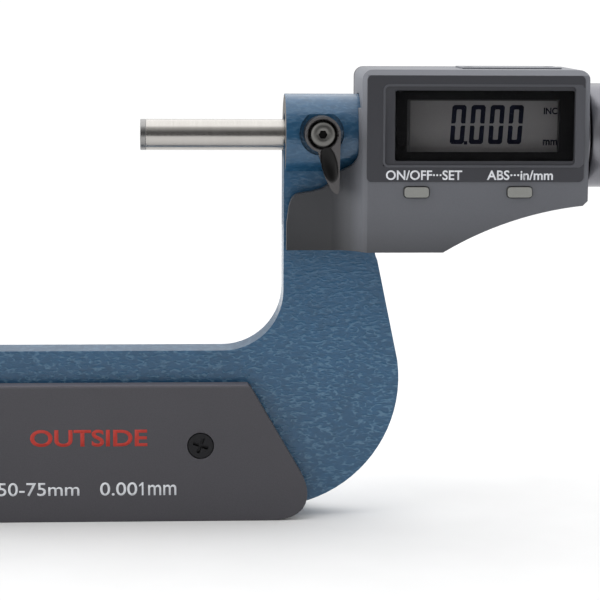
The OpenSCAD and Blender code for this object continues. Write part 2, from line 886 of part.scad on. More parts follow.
frame();
anvil();
anvil_tip();
insulator_front();
insulator_rear();
insulator_screws();
guide_bush();
spindle_wiper();
lock_shoe();
display_housing();
rear_cover();
cover_gasket();
cover_screws();
frame_screws();
display_panel();
display_window();
lcd_holder();
lcd_glass();
zebra_strips();
main_board();
dome_switches();
button_mat();
battery();
battery_tray();
battery_contacts();
port_cover();
port_screws();
port_seal();
port_socket();
stator_board();
flex_cable();
rotor_spring();
barrel();
adjusting_nut();
graduated_sleeve();
barrel_seal();
end_ring();
rotor_disc();
rotor_bush();
rotor_key();
spindle();
spindle_tip();
thimble();
thimble_hub();
ratchet_seat();
ratchet_screw();
ratchet_knob();
ratchet_cap();
ratchet_plate();
ratchet_spring();
lock_lever();
lock_stud();
lock_screw();
button_power();
button_unit();
battery_cap();
battery_cap_seal();
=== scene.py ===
"""Looks of the digital outside micrometer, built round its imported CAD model.

Lengths inside the builders are millimetres in the CAD frame: +X along the spindle, +Z up,
-Y towards the display side. MM turns them into Blender's metres.
"""
import json
import math

import bmesh
import bpy
from mathutils import Euler, Matrix, Vector


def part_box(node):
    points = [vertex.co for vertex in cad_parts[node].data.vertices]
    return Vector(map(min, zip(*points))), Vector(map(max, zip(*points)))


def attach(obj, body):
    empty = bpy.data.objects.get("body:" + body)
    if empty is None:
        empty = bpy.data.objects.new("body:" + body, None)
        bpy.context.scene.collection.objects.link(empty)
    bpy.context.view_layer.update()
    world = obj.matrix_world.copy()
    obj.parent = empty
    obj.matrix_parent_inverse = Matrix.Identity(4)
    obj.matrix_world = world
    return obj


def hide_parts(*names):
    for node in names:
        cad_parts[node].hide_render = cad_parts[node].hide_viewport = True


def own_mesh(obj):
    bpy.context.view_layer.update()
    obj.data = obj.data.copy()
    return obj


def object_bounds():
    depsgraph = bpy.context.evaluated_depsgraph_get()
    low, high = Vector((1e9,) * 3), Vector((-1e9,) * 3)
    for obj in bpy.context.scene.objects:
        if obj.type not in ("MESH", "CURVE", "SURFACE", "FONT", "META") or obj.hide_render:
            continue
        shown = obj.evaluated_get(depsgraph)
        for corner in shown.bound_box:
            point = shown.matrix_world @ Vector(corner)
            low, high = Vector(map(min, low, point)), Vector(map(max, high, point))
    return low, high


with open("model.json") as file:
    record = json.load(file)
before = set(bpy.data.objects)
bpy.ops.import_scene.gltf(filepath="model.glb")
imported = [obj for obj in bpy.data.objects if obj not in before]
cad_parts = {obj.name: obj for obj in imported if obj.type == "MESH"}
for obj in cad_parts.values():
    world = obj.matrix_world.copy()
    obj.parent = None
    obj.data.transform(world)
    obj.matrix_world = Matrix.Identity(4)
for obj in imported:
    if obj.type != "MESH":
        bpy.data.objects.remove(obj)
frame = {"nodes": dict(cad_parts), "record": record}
cad_low, cad_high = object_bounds()

MM = 0.001
RECORD = frame["record"]
BODY_OF = {
    node: body for body, nodes in RECORD["behaviour"]["bodies"].items() for node in nodes
}
SLOT_OF = {part["node"]: part["material_slot"] for part in RECORD["subparts"]}
ROOT = BODY_OF["frame"]


def extent(node):
    """Lowest and highest corner of a CAD node, in millimetres."""
    low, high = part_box(node)
    return Vector(low) / MM, Vector(high) / MM


# ---------------------------------------------------------------- materials


class Nodes:
    """A node tree with short calls for the nodes that the materials share."""

    def __init__(self, name):
        self.material = bpy.data.materials.new(name)
        self.material.use_nodes = True
        self.tree = self.material.node_tree
        self.shader = self.tree.nodes["Principled BSDF"]
        self.coords = self.tree.nodes.new("ShaderNodeTexCoord").outputs["Object"]

    def add(self, kind, **settings):
        node = self.tree.nodes.new(kind)
        for key, value in settings.items():
            setattr(node, key, value)
        return node

    def link(self, source, target):
        self.tree.links.new(source, target)

    def stretched(self, scale):
        """Object coordinates scaled per axis, in cycles per millimetre."""
        mapping = self.add("ShaderNodeMapping")
        mapping.inputs["Scale"].default_value = [s / MM for s in scale]
        self.link(self.coords, mapping.inputs["Vector"])
        return mapping.outputs["Vector"]

    def noise(self, scale, detail=3.0, roughness=0.5, distortion=0.0):
        node = self.add("ShaderNodeTexNoise")
        node.inputs["Scale"].default_value = 1.0
        node.inputs["Detail"].default_value = detail
        node.inputs["Roughness"].default_value = roughness
        node.inputs["Distortion"].default_value = distortion
        self.link(self.stretched(scale), node.inputs["Vector"])
        return node.outputs["Fac"]

    def voronoi(self, scale, warp):
        """Smooth cells, with their places shifted by a colour."""
        node = self.add("ShaderNodeTexVoronoi", feature="SMOOTH_F1")
        node.inputs["Scale"].default_value = 1.0
        mix = self.add("ShaderNodeVectorMath", operation="ADD")
        self.link(self.stretched(scale), mix.inputs[0])
        self.link(warp, mix.inputs[1])
        self.link(mix.outputs[0], node.inputs["Vector"])
        return node.outputs["Distance"]

    def along(self, axis, start, end):
        """Smooth step from 0 to 1 between two positions in millimetres."""
        split = self.add("ShaderNodeSeparateXYZ")
        self.link(self.coords, split.inputs[0])
        span = self.add("ShaderNodeMapRange", interpolation_type="SMOOTHSTEP")
        span.inputs["From Min"].default_value = start * MM
        span.inputs["From Max"].default_value = end * MM
        self.link(split.outputs[axis], span.inputs["Value"])
        return span.outputs["Result"]

    def stepped(self, axis, stops):
        """Grey ramp through (position in millimetres, value) stops along an axis."""
        start, end = stops[0][0], stops[-1][0]
        split = self.add("ShaderNodeSeparateXYZ")
        self.link(self.coords, split.inputs[0])
        span = self.add("ShaderNodeMapRange")
        span.inputs["From Min"].default_value = start * MM
        span.inputs["From Max"].default_value = end * MM
        self.link(split.outputs[axis], span.inputs["Value"])
        spread = [((at - start) / (end - start), value) for at, value in stops]
        return self.ramp(span.outputs["Result"], spread)

    def ramp(self, value, stops):
        """Colour ramp from (position, grey or colour) stops."""
        node = self.add("ShaderNodeValToRGB")
        elements = node.color_ramp.elements
        while len(elements) < len(stops):
            elements.new(0.5)
        for element, (position, colour) in zip(elements, stops):
            element.position = position
            if isinstance(colour, (int, float)):
                colour = (colour, colour, colour)
            element.color = (*colour, 1)
        self.link(value, node.inputs["Fac"])
        return node.outputs["Color"]

    def mix(self, fac, a, b, blend="MIX"):
        node = self.add("ShaderNodeMix", data_type="RGBA", blend_type=blend)
        for index, value in ((0, fac), (6, a), (7, b)):
            if isinstance(value, bpy.types.NodeSocket):
                self.link(value, node.inputs[index])
            elif isinstance(value, (int, float)):
                node.inputs[index].default_value = value if index == 0 else (value,) * 3 + (1,)
            else:
                node.inputs[index].default_value = (*value, 1)
        return node.outputs[2]

    def math(self, operation, a, b):
        node = self.add("ShaderNodeMath", operation=operation)
        for index, value in enumerate((a, b)):
            if isinstance(value, bpy.types.NodeSocket):
                self.link(value, node.inputs[index])
            else:
                node.inputs[index].default_value = value
        return node.outputs[0]

    def bump(self, height, depth):
        """Bump of the given depth in millimetres."""
        node = self.add("ShaderNodeBump")
        node.inputs["Distance"].default_value = depth * MM
        node.inputs["Strength"].default_value = 1.0
        self.link(height, node.inputs["Height"])
        self.link(node.outputs["Normal"], self.shader.inputs["Normal"])
        return node.outputs["Normal"]

    def set(self, **values):
        for key, value in values.items():
            socket = self.shader.inputs[key.replace("_", " ").title().replace("Ior", "IOR")]
            if isinstance(value, bpy.types.NodeSocket):
                self.link(value, socket)
            elif isinstance(value, tuple):
                socket.default_value = (*value, 1)
            else:
                socket.default_value = value
        return self


def shade(colour, factor):
    return tuple(c * factor for c in colour)


def hammered_enamel():
    """Blue hammered enamel: broken pale ridges, a painted highlight, over darker cells; the
    ridges fade towards the top as a painted floor reflection strongest low down.
    """
    n = Nodes("hammered enamel")
    warp = n.add("ShaderNodeTexNoise")
    warp.inputs["Scale"].default_value = 1.0
    n.link(n.stretched((0.9, 0.9, 1.3)), warp.inputs["Vector"])
    cells = n.voronoi((0.80, 0.80, 1.6), warp.outputs["Color"])
    fine = n.noise((0.52, 0.52, 1.20), detail=1.0, roughness=0.5, distortion=0.25)
    ridge = n.ramp(fine, [(0.39, 0.0), (0.48, 1.0), (0.52, 1.0), (0.61, 0.0)])
    patch = n.ramp(n.noise((0.7, 0.7, 1.3), detail=1), [(0.42, 0.1), (0.56, 1.0)])
    broad = n.noise((0.12, 0.12, 0.12), detail=2)
    blue = (0.0115, 0.077, 0.165)
    tops = n.ramp(cells, [(0.15, shade(blue, 1.12)), (0.55, blue), (0.9, shade(blue, 0.84))])
    # Painted floor reflection: the pale ridges keep full strength low down and fade to 0.30
    # towards the top.
    floor_sheen = n.mix(n.along("Z", -58, -20), 1.0, 0.30)
    lit_ridges = n.math("MULTIPLY", n.math("MULTIPLY", ridge, patch), floor_sheen)
    height = n.math("ADD", n.math("MULTIPLY", cells, -0.3), n.math("MULTIPLY", lit_ridges, 0.5))
    # The pale ridge colour is a painted highlight on the ridges.
    colour = n.mix(lit_ridges, tops, (0.078, 0.178, 0.285))
    cloud = n.ramp(broad, [(0.3, 0.94), (0.7, 1.06)])
    colour = n.mix(1.0, colour, cloud, "MULTIPLY")
    n.set(base_color=colour, roughness=0.36, metallic=0.15, coat_weight=0.5,
          coat_roughness=0.14)
    normal = n.bump(height, 0.09)
    n.link(normal, n.shader.inputs["Coat Normal"])
    return n.material


def ground_steel(name, colour, roughness, axis="X", depth=0.004, recess_shade=None):
    """Metal with fine ground lines and faint smudges; the last argument paints shade into a
    recess, darker along Y.
    """
    n = Nodes(name)
    scale = {"X": (9.0, 0.15, 0.15), "Y": (0.15, 9.0, 0.15), "Z": (0.15, 0.15, 9.0),
             "flat": (4.0, 4.0, 4.0)}[axis]
    lines = n.noise(scale, detail=4, roughness=0.7)
    smudge = n.noise((0.25, 0.25, 0.25), detail=3)
    tone = n.ramp(lines, [(0.3, shade(colour, 0.92)), (0.7, shade(colour, 1.04))])
    dull = n.ramp(smudge, [(0.3, 0.94), (0.7, 1.0)])
    rough = n.math("ADD", n.math("MULTIPLY", lines, 0.10), n.math("MULTIPLY", smudge, 0.08))
    rough = n.math("ADD", rough, roughness - 0.09)
    tone = n.mix(1.0, tone, dull, "MULTIPLY")
    # Painted shade: the recess range darkens the colour to 0.012 deeper along Y.
    if recess_shade:
        tone = n.mix(n.along("Y", *recess_shade), tone, 0.012)
    n.set(base_color=tone, metallic=1.0, roughness=rough)
    n.bump(lines, depth)
    return n.material


def moulded_plastic(name, colour, roughness, grain=6.0, depth=0.012, mottle=0.05, gloss=0.5,
                    painted_shading=()):
    """Moulded plastic with a fine spark-eroded grain; the last argument holds (axis, stops) pairs
    of painted light and shade multiplied into the colour.
    """
    n = Nodes(name)
    pebble = n.noise((grain, grain, grain), detail=3, roughness=0.6)
    speck = n.noise((grain * 2.3,) * 3, detail=1)
    cloud = n.noise((0.06, 0.06, 0.06), detail=2)
    tone = n.ramp(pebble, [(0.25, shade(colour, 1 - mottle)), (0.75, shade(colour, 1 + mottle))])
    wide = n.ramp(cloud, [(0.3, 0.97), (0.7, 1.03)])
    rough = n.math("ADD", n.math("MULTIPLY", speck, 0.14), roughness - 0.07)
    tone = n.mix(1.0, tone, wide, "MULTIPLY")
    # Painted light and shade: each axis ramp multiplies the colour.
    for axis, stops in painted_shading:
        tone = n.mix(1.0, tone, n.stepped(axis, stops), "MULTIPLY")
    n.set(base_color=tone, roughness=rough)
    n.shader.inputs["Specular IOR Level"].default_value = gloss
    n.bump(pebble, depth)
    return n.material


def printed_ink(name, colour, specular=0.5):
    """Pad-printed ink, slightly uneven."""
    n = Nodes(name)
    speck = n.noise((8, 8, 8), detail=2)
    n.set(base_color=n.ramp(speck, [(0.3, shade(colour, 0.94)), (0.7, colour)]), roughness=0.55)
    n.shader.inputs["Specular IOR Level"].default_value = specular
    n.bump(speck, 0.003)
    return n.material


def rubber():
    n = Nodes("seal rubber")
    speck = n.noise((5, 5, 5), detail=3)
    n.set(base_color=n.ramp(speck, [(0.3, 0.014), (0.7, 0.022)]), roughness=0.7)
    n.bump(speck, 0.01)
    return n.material


def circuit_board():
    n = Nodes("circuit board")
    weave = n.noise((3, 3, 3), detail=2)
    n.set(base_color=n.ramp(weave, [(0.3, (0.01, 0.09, 0.03)), (0.7, (0.015, 0.12, 0.045))]),
          roughness=0.35)
    n.bump(weave, 0.01)
    return n.material


def lens():
    """Clear window plate: mostly seen through, with its gloss kept."""
    n = Nodes("window lens")
    faint = n.noise((0.3, 0.3, 0.3), detail=2)
    rough = n.math("ADD", n.math("MULTIPLY", faint, 0.04), 0.06)
    n.set(base_color=(0.004, 0.004, 0.005), roughness=rough)
    n.shader.inputs["Alpha"].default_value = 0.10
    n.shader.inputs["Specular IOR Level"].default_value = 0.2
    n.material.blend_method = "BLEND"
    return n.material


def lcd_face():
    """The display's polariser: warm grey with a faint cell texture, with painted shade darkening
    its right end.
    """
    n = Nodes("lcd face")
    grain = n.noise((7, 7, 7), detail=2)
    drift = n.noise((0.05, 0.05, 0.09), detail=1)
    tone = n.ramp(grain, [(0.3, (0.165, 0.160, 0.163)), (0.7, (0.190, 0.185, 0.188))])
    tone = n.mix(1.0, tone, n.ramp(drift, [(0.3, 0.9), (0.7, 1.1)]), "MULTIPLY")
    end = extent("lcd_glass")[1].x
    # Painted shade: the last millimetre of the display darkens to near black.
    tone = n.mix(n.along("X", end - 1.0, end), tone, 0.004)
    n.set(base_color=tone, roughness=0.42)
    n.bump(grain, 0.003)
    return n.material


BODY_LENGTH = 46.7
SLEEVE_BORE = 7.4
CAP_RADIUS = 4.4
LEVER_FACE = extent("lock_lever")[0].y
BODY_LEFT = extent("display_housing")[1].x - BODY_LENGTH
# Painted light and shade on the housing plastic: along X the wing is painted darker as shade and
# the body's left wall lighter as lit; along Z it is darker towards the foot and near the boss's
# height as shade, and lighter towards the top as lit.
WING_PAINTED_SHADING = [(BODY_LEFT - 7.6, 0.33), (BODY_LEFT - 5.0, 0.37), (BODY_LEFT - 2.2, 0.68),
              (BODY_LEFT - 0.1, 1.22), (BODY_LEFT + 1.4, 1.04)]
HEIGHT_PAINTED_SHADING = [(-23.8, 0.48), (-21.3, 0.64), (-19.0, 0.78), (-15.0, 0.91), (-9.0, 0.97),
              (-1.0, 0.72), (6.5, 1.10), (12.5, 1.40)]

PAINT = hammered_enamel()
SPINDLE_STEEL = ground_steel("spindle steel", (0.50, 0.48, 0.455), 0.24, "X", 0.003)
SATIN = ground_steel("satin chrome", (0.22, 0.22, 0.24), 0.30, "X", 0.006)
STEEL = ground_steel("turned steel", (0.36, 0.36, 0.37), 0.30, "X", 0.006)
FACE_STEEL = ground_steel("faced steel", (0.20, 0.19, 0.18), 0.34, "flat", 0.004)
SCREW_STEEL = ground_steel("screw steel", (0.24, 0.235, 0.22), 0.38, "flat", 0.010)
# The socket screw's steel has painted shade darkening its socket deeper than the lever's face.
SOCKET_STEEL = ground_steel("socket screw steel", (0.17, 0.168, 0.16), 0.38, "flat", 0.010,
                            (LEVER_FACE - 0.1, LEVER_FACE + 0.25))
BLACK_STEEL = ground_steel("blackened steel", (0.030, 0.030, 0.032), 0.42, "flat", 0.006)
CARBIDE = ground_steel("carbide", (0.30, 0.295, 0.29), 0.30, "flat", 0.003)
BRASS = ground_steel("brass", (0.60, 0.42, 0.16), 0.32, "X", 0.005)
# The housing plastic carries the painted light and shade along X and Z.
HOUSING = moulded_plastic("housing plastic", (0.126, 0.131, 0.148), 0.50, 5.0, 0.014,
                          painted_shading=(("X", WING_PAINTED_SHADING), ("Z", HEIGHT_PAINTED_SHADING)))
COVER = moulded_plastic("cover plastic", (0.110, 0.111, 0.118), 0.52, 5.0, 0.014)
PANEL = moulded_plastic("panel plastic", (0.036, 0.037, 0.045), 0.50, 7.0, 0.010)
# A lighter plastic for the raised line round the window: a painted highlight along it.
LINE_HIGHLIGHT = moulded_plastic("panel line highlight plastic", (0.072, 0.074, 0.086), 0.45, 7.0, 0.008)
# The plate's top edge is painted 1.9 times lighter above Z -52.3, a painted highlight along that
# edge.
PLATE = moulded_plastic("plate plastic", (0.064, 0.062, 0.072), 0.60, 3.6, 0.022, 0.10,
                        painted_shading=(("Z", [(-80.7, 1.0), (-52.3, 1.0), (-51.7, 1.9)]),))
BLACK = moulded_plastic("black plastic", (0.012, 0.012, 0.013), 0.45, 6.0, 0.008)
# Painted shade: the lever's colour drops to 0.06 of itself from 0.45 mm behind its face,
# darkening the scoop and the dished hub, and rises to 0.35 further back.
LEVER = moulded_plastic("lever plastic", (0.098, 0.094, 0.096), 0.34, 6.0, 0.003, 0.05, 0.2,
                        (("Y", [(LEVER_FACE + 0.05, 1.0), (LEVER_FACE + 0.45, 0.06),
                                (LEVER_FACE + 2.0, 0.06), (LEVER_FACE + 3.0, 0.35)]),))
BUTTON = moulded_plastic("button plastic", (0.262, 0.265, 0.250), 0.45, 6.0, 0.006)
WHITE_INK = printed_ink("white ink", (0.80, 0.82, 0.86))
RED_INK = printed_ink("red ink", (0.50, 0.030, 0.018))
BLACK_INK = printed_ink("black ink", (0.003, 0.003, 0.0035), 0.1)
SEGMENT_INK = printed_ink("segment ink", (0.003, 0.004, 0.014), 0.1)
RUBBER = rubber()
BOARD = circuit_board()
LENS = lens()
LCD = lcd_face()

MATERIAL_OF_SLOT = {
    "frame_paint": PAINT, "steel": STEEL, "satin_chrome": SATIN, "carbide": CARBIDE,
    "brass": BRASS, "insulator_plastic": PLATE, "housing_plastic": HOUSING,
    "panel_plastic": PANEL, "black_plastic": BLACK, "lever_plastic": LEVER,
    "window_clear": LENS, "lcd": LCD, "button_plastic": BUTTON, "seal_rubber": RUBBER,
    "black_steel": BLACK_STEEL, "board": BOARD, "flex": BRASS,
}


def finish_cad_nodes():
    """Every CAD node gets its slot's material; the skins below replace the seen ones."""
    for node, obj in frame["nodes"].items():
        obj.data.materials.clear()
        obj.data.materials.append(MATERIAL_OF_SLOT[SLOT_OF[node]])


# ---------------------------------------------------------------- mesh helpers


def new_object(name, mesh, material, body, stands_for=()):
    obj = bpy.data.objects.new(name, mesh)
    bpy.context.scene.collection.objects.link(obj)
    obj.data.materials.append(material)
    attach(obj, body)
    for node in stands_for:
        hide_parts(node)
    return obj


def mesh_from(name, verts, faces):
    mesh = bpy.data.meshes.new(name)
    mesh.from_pydata([Vector(v) * MM for v in verts], [], faces)
    mesh.validate()
    mesh.update()
    return mesh


def round_edges(obj, width, segments=3, angle=32):
    """Rounds the sharp edges and shades the rest smooth."""
    if width > 0:
        bevel = obj.modifiers.new("edges", "BEVEL")
        bevel.width = width * MM
        bevel.segments = segments
        bevel.limit_method = "ANGLE"
        bevel.angle_limit = math.radians(angle)
        bevel.harden_normals = True
        bevel.miter_outer = "MITER_ARC"
    for polygon in obj.data.polygons:
        polygon.use_smooth = True
    obj.data.set_sharp_from_angle(angle=math.radians(angle))
    return obj


def clean_copy(node):
    """A CAD node's mesh with its flat faces joined, ready to be cut and rounded."""
    bm = bmesh.new()
    bm.from_mesh(frame["nodes"][node].data)
    bmesh.ops.remove_doubles(bm, verts=bm.verts, dist=0.0005 * MM)
    bmesh.ops.dissolve_limit(bm, angle_limit=math.radians(1.0), verts=bm.verts, edges=bm.edges)
    mesh = bpy.data.meshes.new(node + "_skin")
    bm.to_mesh(mesh)
    bm.free()
    mesh.materials.clear()
    return mesh


def skin(node, material, width=0.2, segments=3, angle=32):
    """A CAD node with rounded edges in place of its sharp ones."""
    obj = new_object(node + "_skin", clean_copy(node), material, BODY_OF[node], [node])
    return round_edges(obj, width, segments, angle)


def lathe_mesh(name, profile, segments=144):
    """Closed solid turned about the spindle axis from (x, r) points."""
    verts = []
    faces = []
    count = len(profile)
    for i in range(segments):
        angle = 2 * math.pi * i / segments
        verts += [(x, r * math.cos(angle), r * math.sin(angle)) for x, r in profile]
        j = (i + 1) % segments
        for k in range(count):
            m = (k + 1) % count
            faces.append((i * count + k, i * count + m, j * count + m, j * count + k))
    return recalculate(mesh_from(name, verts, faces), 0.0005)


def turned(name, profile, material, node, width=0.15, segments=144):
    mesh = lathe_mesh(name, profile, segments)
    obj = new_object(name, mesh, material, BODY_OF[node], [node])
    return round_edges(obj, width)


def prism_mesh(name, outline, y0, y1):
    """Flat XZ outline, listed anticlockwise as the display side sees it, between two depths."""
    n = len(outline)
    verts = [(x, y0, z) for x, z in outline] + [(x, y1, z) for x, z in outline]
    faces = [tuple(range(n)), tuple(reversed(range(n, 2 * n)))]
    faces += [(i, i + n, (i + 1) % n + n, (i + 1) % n) for i in range(n)]
    return mesh_from(name, verts, faces)


def rounded_rect(x0, z0, x1, z1, r, steps=6):
    points = []
    for cx, cz, start in ((x1 - r, z1 - r, 0), (x0 + r, z1 - r, 90), (x0 + r, z0 + r, 180),
                          (x1 - r, z0 + r, 270)):
        for i in range(steps + 1):
            a = math.radians(start + 90 * i / steps)
            points.append((cx + r * math.cos(a), cz + r * math.sin(a)))
    return points


def ring_mesh(name, outer, inner, y0, y1):
    """Flat frame between two outlines with the same number of points."""
    n = len(outer)
    verts = [(x, y, z) for y in (y0, y1) for x, z in outer + inner]
    faces = []
    for i in range(n):
        j = (i + 1) % n
        faces.append((i, j, n + j, n + i))
        faces.append((2 * n + i, 3 * n + i, 3 * n + j, 2 * n + j))
        faces.append((i, 2 * n + i, 2 * n + j, j))
        faces.append((n + i, n + j, 3 * n + j, 3 * n + i))
    return mesh_from(name, verts, faces)


def recalculate(mesh, merge=0.0):
    """Turns every face outwards, after joining points closer than merge millimetres."""
    bm = bmesh.new()
    bm.from_mesh(mesh)
    if merge:
        bmesh.ops.remove_doubles(bm, verts=bm.verts, dist=merge * MM)
        bmesh.ops.dissolve_degenerate(bm, edges=bm.edges, dist=merge * MM)
    bmesh.ops.recalc_face_normals(bm, faces=bm.faces)
    bm.to_mesh(mesh)
    bm.free()
    return mesh


def cut(obj, cutter_mesh):
    """Subtracts a closed mesh from an object and throws the cutter away."""
    cutter = bpy.data.objects.new("cutter", cutter_mesh)
    bpy.context.scene.collection.objects.link(cutter)
    boolean = obj.modifiers.new("cut", "BOOLEAN")
    boolean.operation = "DIFFERENCE"
    boolean.object = cutter
    boolean.solver = "EXACT"
    apply_modifiers(obj)
    bpy.data.objects.remove(cutter)
    return obj


def apply_modifiers(obj):
    graph = bpy.context.evaluated_depsgraph_get()
    mesh = bpy.data.meshes.new_from_object(obj.evaluated_get(graph))
    obj.modifiers.clear()
    obj.data = mesh
    return obj


def text_mesh(name, words, height, width=None, thickness=0.03, weight=0.018):
    """Lettering centred on its own origin in the XZ plane, facing -Y."""
    curve = bpy.data.curves.new(name, "FONT")
    curve.body = words
    curve.align_x = "CENTER"
    curve.align_y = "CENTER"
    curve.size = 1.0
    curve.offset = weight
    curve.resolution_u = 6
    obj = bpy.data.objects.new(name, curve)
    bpy.context.scene.collection.objects.link(obj)
    graph = bpy.context.evaluated_depsgraph_get()
    mesh = bpy.data.meshes.new_from_object(obj.evaluated_get(graph))
    bpy.data.objects.remove(obj)
    xs = [v.co.x for v in mesh.vertices]
    ys = [v.co.y for v in mesh.vertices]
    scale_z = height / (max(ys) - min(ys))
    scale_x = scale_z if width is None else width / (max(xs) - min(xs))
    mid = Vector(((max(xs) + min(xs)) / 2, (max(ys) + min(ys)) / 2, 0))
    bm = bmesh.new()
    bm.from_mesh(mesh)
    bmesh.ops.remove_doubles(bm, verts=bm.verts, dist=1e-5)
    for v in bm.verts:
        p = v.co - mid
        v.co = Vector((p.x * scale_x, 0, p.y * scale_z)) * MM
    extruded = bmesh.ops.extrude_face_region(bm, geom=list(bm.faces))
    moved = [g for g in extruded["geom"] if isinstance(g, bmesh.types.BMVert)]
    for v in moved:
        v.co.y -= thickness * MM
    bmesh.ops.recalc_face_normals(bm, faces=bm.faces)
    bm.to_mesh(mesh)
    bm.free()
    mesh.materials.clear()
    return mesh


def label(name, words, x, y, z, height, material, width, weight=0.018):
    mesh = text_mesh(name, words, height, width, weight=weight)
    mesh.transform(Matrix.Translation(Vector((x, y, z)) * MM))
    return new_object(name, mesh, material, ROOT)


# ---------------------------------------------------------------- frame


def make_frame():
    """The casting, with soft painted edges, and its bare machined boss faces."""
    mesh = clean_copy("frame")
    obj = new_object("frame_casting", mesh, PAINT, ROOT, ["frame"])
    round_edges(obj, 0.8, 4, 35)
    boss_x = extent("guide_bush")[0].x - 2
    boss_r = extent("frame")[1].z
    seat_r = extent("guide_bush")[1].z
    ring = [(boss_x - 0.06, seat_r + 0.1), (boss_x - 0.06, boss_r - 0.35),
            (boss_x + 0.3, boss_r - 0.35), (boss_x + 0.3, seat_r + 0.1)]
    face = new_object("boss_machined_face", lathe_mesh("boss_machined_face", ring), FACE_STEEL,
                      ROOT)
    round_edges(face, 0.05)


def make_insulators():
    for node in ("insulator_front", "insulator_rear"):
        skin(node, PLATE, 0.7, 4)
    skin("insulator_screws", BLACK_STEEL, 0.12, 2)


# ---------------------------------------------------------------- housing


def make_housing():
    skin("display_housing", HOUSING, 0.35, 3)
    skin("rear_cover", COVER, 0.4, 3)
    skin("display_panel", PANEL, 0.12, 2)
    for node in ("cover_screws", "frame_screws", "port_screws"):
        skin(node, SCREW_STEEL, 0.08, 2)
    skin("port_cover", HOUSING, 0.15, 2)
    skin("battery_cap", BLACK, 0.25, 3)
    for node in ("button_power", "button_unit"):
        skin(node, BUTTON, 0.3, 4)
    make_panel_line()
    make_cove()


def make_panel_line():
    """Fine raised line round the window's surround, open towards the housing's end; its lighter
    plastic is a painted highlight along the line.
    """
    low, high = extent("display_panel")
    left, bottom, top, line = low.x + 3.3, -5.9, 11.1, 0.45
    outer = rounded_rect(left, bottom, high.x, top, 1.2)
    window_end = extent("display_window")[1].x
    inner = rounded_rect(left + line, bottom + line, window_end + 0.2, top - line, 0.8)
    mesh = ring_mesh("panel_highlight_line", outer, inner, low.y - 0.07, low.y + 0.3)
    # Its lighter plastic is a painted highlight along the line.
    highlight_line = new_object("panel_highlight_line", mesh, LINE_HIGHLIGHT, ROOT)
    round_edges(highlight_line, 0.06, 2)


def make_cove():
    """Curved sweep from the wing's face up to the bevel of the main body, on the display side."""
    foot = BODY_LEFT - 5.9
    head = BODY_LEFT + 0.05
    wing_y, low_z = 7.5, extent("display_housing")[0].z + 0.05
    rim = [(foot, -8.75), (89.2, -9.8), (91.6, -7.1), (93.1, -6.25), (94.0, -5.5), (94.7, -4.4),
           (head, -3.0)]
    steps, rows = 20, 8
    verts, faces = [], []
    for i in range(steps + 1):
        t = i / steps
        x = foot + (head - foot) * t
        rise = 4.15 * t ** 2 - 0.85 * t ** 3
        for (x0, z0), (x1, z1) in zip(rim, rim[1:]):
            if x <= x1:
                high_z = z0 + (z1 - z0) * (x - x0) / (x1 - x0)
                break
        for k in range(rows + 1):
            z = low_z + (high_z - low_z) * k / rows
            verts.append((x, -(wing_y + 0.01 + rise), z))
        for k in range(rows + 1):
            z = low_z + (high_z - low_z) * k / rows
            verts.append((x, -(wing_y - 0.1), z))
    ring = 2 * (rows + 1)
    for i in range(steps):
        a, b = i * ring, (i + 1) * ring
        back = rows + 1
        for k in range(rows):
            faces.append((a + k, b + k, b + k + 1, a + k + 1))
            faces.append((a + back + k, a + back + k + 1, b + back + k + 1, b + back + k))
        faces.append((a, a + back, b + back, b))
        faces.append((a + rows, b + rows, b + back + rows, a + back + rows))
    for a, flip in ((0, False), (steps * ring, True)):
        loop = list(range(a, a + rows + 1)) + list(range(a + ring - 1, a + rows, -1))
        faces.append(tuple(loop if not flip else reversed(loop)))
    mesh = mesh_from("wing_cove", verts, faces)
    cove = new_object("wing_cove", mesh, HOUSING, ROOT)
    round_edges(cove, 0, angle=40)


def half_zero(width, height, bar):
    """Lower half of a squared figure zero: a cup with bevelled corners."""
    w, b, top = width, bar, height / 2 - 0.22
    return [(0.4, 0), (w - 0.4, 0), (w, 0.4), (w, top), (w - b + 0.2, top), (w - b, top - 0.3),
            (w - b, b + 0.1), (w - b - 0.15, b - 0.05), (b + 0.15, b - 0.05), (b, b + 0.1),
            (b, top - 0.3), (b - 0.2, top), (0, top), (0, 0.4)]


def make_display():
    """Window, border, LCD and its figures."""
    window_low, window_high = extent("display_window")
    glass_low, glass_high = extent("lcd_glass")
    outline = rounded_rect(window_low.x, window_low.z, window_high.x, window_high.z, 0.5)
    pane = prism_mesh("window_pane", outline, window_low.y, window_high.y - 0.1)
    pane = new_object("window_pane", pane, LENS, ROOT, ["display_window"])
    round_edges(pane, 0.08)
    view = rounded_rect(glass_low.x + 0.45, glass_low.z + 0.73, glass_high.x - 1.1,
                        glass_high.z - 0.63, 0.25)
    border = ring_mesh("window_border", outline, view, window_high.y - 0.09, window_high.y)
    new_object("window_border", border, BLACK_INK, ROOT)
    skin("lcd_holder", BLACK, 0.05, 1)
    skin("lcd_glass", LCD, 0.05, 1)
    make_figures(glass_low.x + 9.65, glass_low.z + 2.15, glass_low.y - 0.02)
    right = glass_high.x - 2.35
    label("display_inc", "INC", right, glass_low.y, glass_low.z + 9.0, 1.4, SEGMENT_INK, 2.85,
          weight=0.03)
    label("display_mm", "mm", right, glass_low.y, glass_low.z + 2.5, 1.15, SEGMENT_INK, 3.0,
          weight=0.03)


